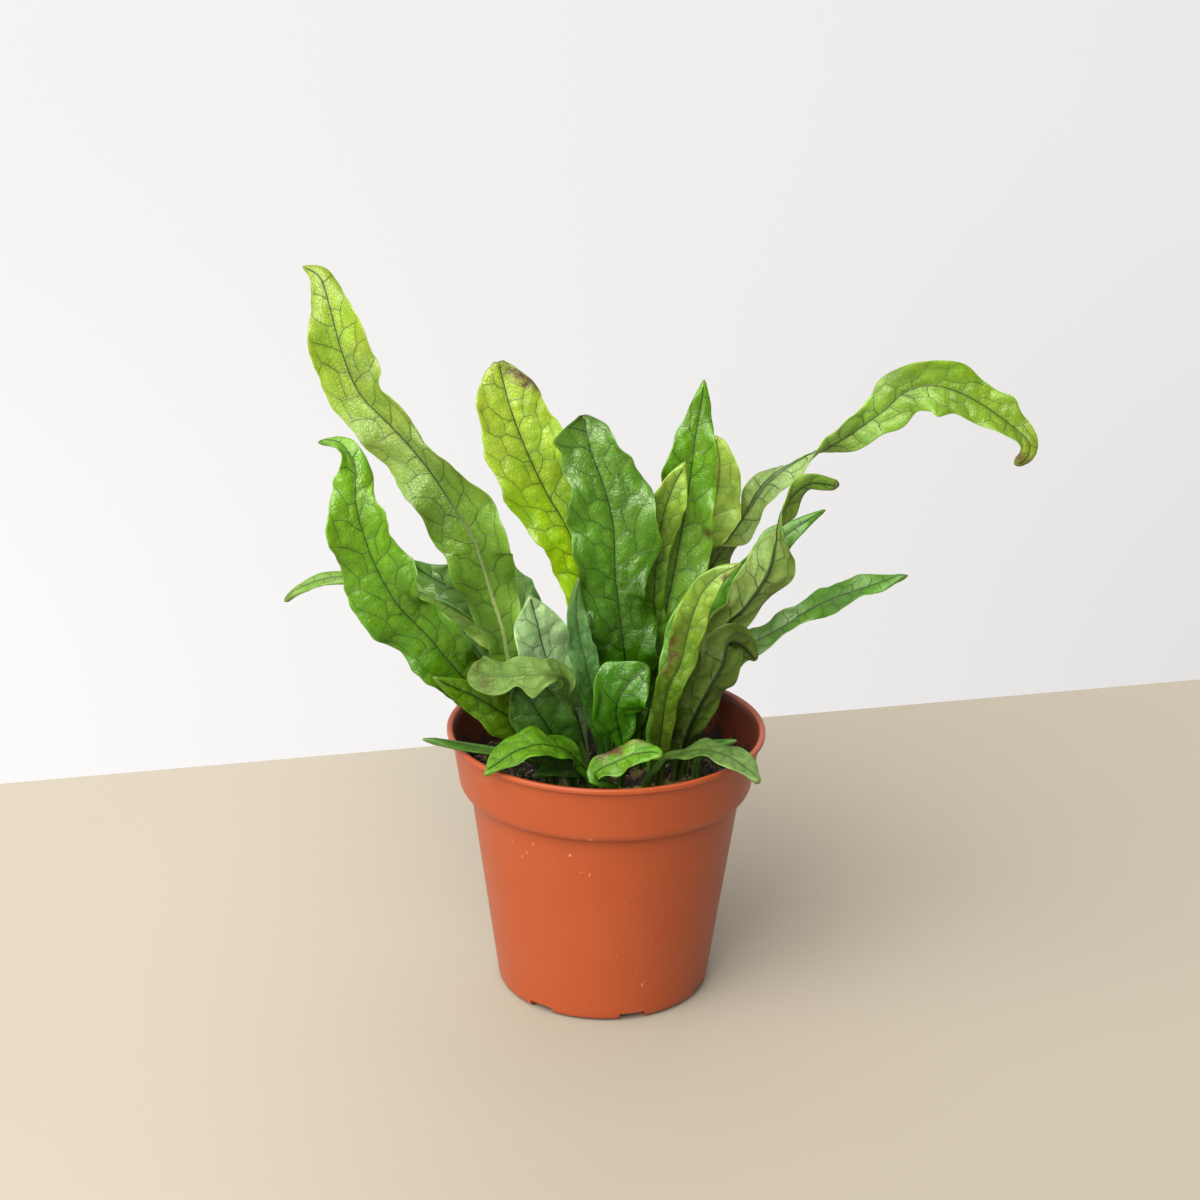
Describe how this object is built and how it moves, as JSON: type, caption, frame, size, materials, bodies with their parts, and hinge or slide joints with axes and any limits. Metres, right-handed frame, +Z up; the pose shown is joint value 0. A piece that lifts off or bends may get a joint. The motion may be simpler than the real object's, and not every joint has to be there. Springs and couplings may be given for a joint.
{
  "type": "potted fern",
  "caption": "Strap-leaved fern with netted veins and waved margins, growing in soil in a tapered plastic nursery pot with a collar.",
  "frame": {"origin": "middle of the flat pad under the pot's floor, in the plane that the pot stands on", "axes": "+Z up along the pot's axis, -Y towards the plant's front as pictured, +X to that view's right"},
  "size_m": [0.2818, 0.1383, 0.2726],
  "materials": {
    "terracotta_plastic": "satin",
    "potting_soil": "matte",
    "rhizome_skin": "matte",
    "pale_leaf": "satin",
    "fresh_leaf": "satin",
    "deep_leaf": "satin"
  },
  "bodies": {
    "root": {"pot": "terracotta_plastic", "rhizome": "rhizome_skin", "soil": "potting_soil", "frond_tall_left": "fresh_leaf", "frond_left_glossy": "deep_leaf", "frond_left_long": "pale_leaf", "frond_left_dark": "deep_leaf", "frond_broad_pale": "pale_leaf", "frond_broad_dark": "deep_leaf", "frond_pointed": "fresh_leaf", "frond_behind_pointed": "pale_leaf", "frond_narrow_middle": "deep_leaf", "frond_edge_right": "deep_leaf", "frond_long_right": "fresh_leaf", "frond_curled_right": "pale_leaf", "frond_dark_right": "deep_leaf", "frond_low_right": "deep_leaf", "frond_front_pale": "pale_leaf", "frond_folded_right": "fresh_leaf", "frond_folded_front": "pale_leaf", "frond_front_left": "deep_leaf", "frond_over_rim_left": "fresh_leaf", "frond_thin_left": "fresh_leaf", "frond_small_front": "fresh_leaf", "frond_over_rim_right": "fresh_leaf", "frond_small_right": "fresh_leaf", "frond_small_left": "deep_leaf", "frond_silvery": "fresh_leaf", "frond_narrow_left": "deep_leaf", "frond_young_front": "fresh_leaf", "frond_back_left": "fresh_leaf", "frond_back_middle": "deep_leaf", "frond_back_right": "fresh_leaf", "frond_back_low": "pale_leaf", "frond_back_far_left": "deep_leaf", "frond_back_far_right": "deep_leaf", "frond_under_fold": "deep_leaf"}
  },
  "joints": []
}
